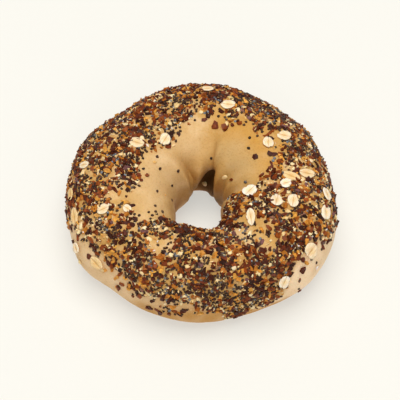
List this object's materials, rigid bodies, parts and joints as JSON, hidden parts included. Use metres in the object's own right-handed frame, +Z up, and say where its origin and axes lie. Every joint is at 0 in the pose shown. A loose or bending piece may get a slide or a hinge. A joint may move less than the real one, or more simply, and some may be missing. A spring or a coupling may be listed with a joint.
{
  "type": "bagel",
  "caption": "Topped bagel: a plump ring of baked dough with a small uneven hole, crowned with oat flakes, onion chips and seeds.",
  "frame": {"origin": "on the surface that the bagel rests on, below the middle of its outline seen from above", "axes": "+Z up towards the topped crown, +X to the right of the side shown, +Y away from the viewer"},
  "size_m": [0.1064, 0.1017, 0.0398],
  "materials": {
    "baked_dough": "baked crust, matte, with a dense topping of seeds, flakes and chips"
  },
  "bodies": {
    "root": {"bagel": "baked_dough"}
  },
  "joints": []
}
